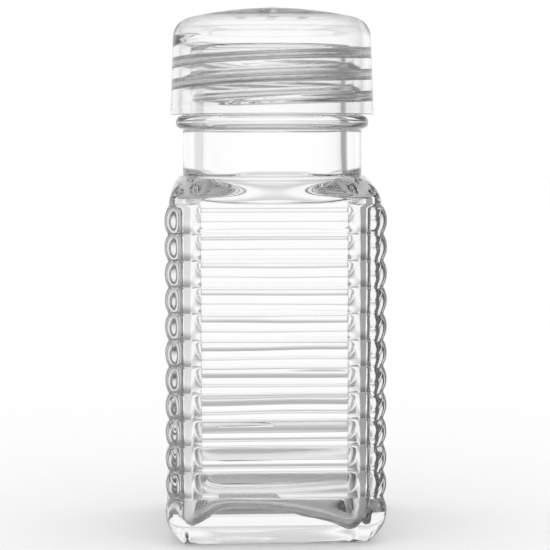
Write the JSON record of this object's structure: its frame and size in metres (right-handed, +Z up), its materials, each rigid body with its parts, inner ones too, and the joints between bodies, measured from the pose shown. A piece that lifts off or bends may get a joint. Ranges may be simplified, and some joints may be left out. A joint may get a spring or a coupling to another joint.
{
  "type": "salt shaker",
  "caption": "Square ribbed glass jar with a rounded shoulder and a screw neck, closed by a clear, slightly domed screw cap with pour holes for shaking out salt.",
  "frame": {"origin": "middle of the base, on the table", "axes": "+Z up along the common axis of neck and cap, -Y out of the front face"},
  "size_m": [0.0398, 0.0398, 0.0968],
  "materials": {
    "jar_glass": "clear, fire polished",
    "cap_plastic": "clear, glossy",
    "liner_soft": "clear, soft"
  },
  "bodies": {
    "jar_body": {"jar": "jar_glass"},
    "liner": {"liner_ring": "liner_soft"},
    "cap_body": {"cap": "cap_plastic"}
  },
  "joints": [
    {"name": "cap_lift", "type": "slide", "parent": "jar_body", "child": "liner", "axis": [0, 0, 1], "range_m": [0, 0.00691]},
    {"name": "cap_turn", "type": "hinge", "parent": "liner", "child": "cap_body", "pos_m": [0, 0, 0.08], "axis": [0, 0, 1], "range_deg": [0, 630]}
  ],
  "couplings": [
    {"joint": "cap_lift", "follows": "cap_turn", "m_per_rad": 0.00062866}
  ]
}
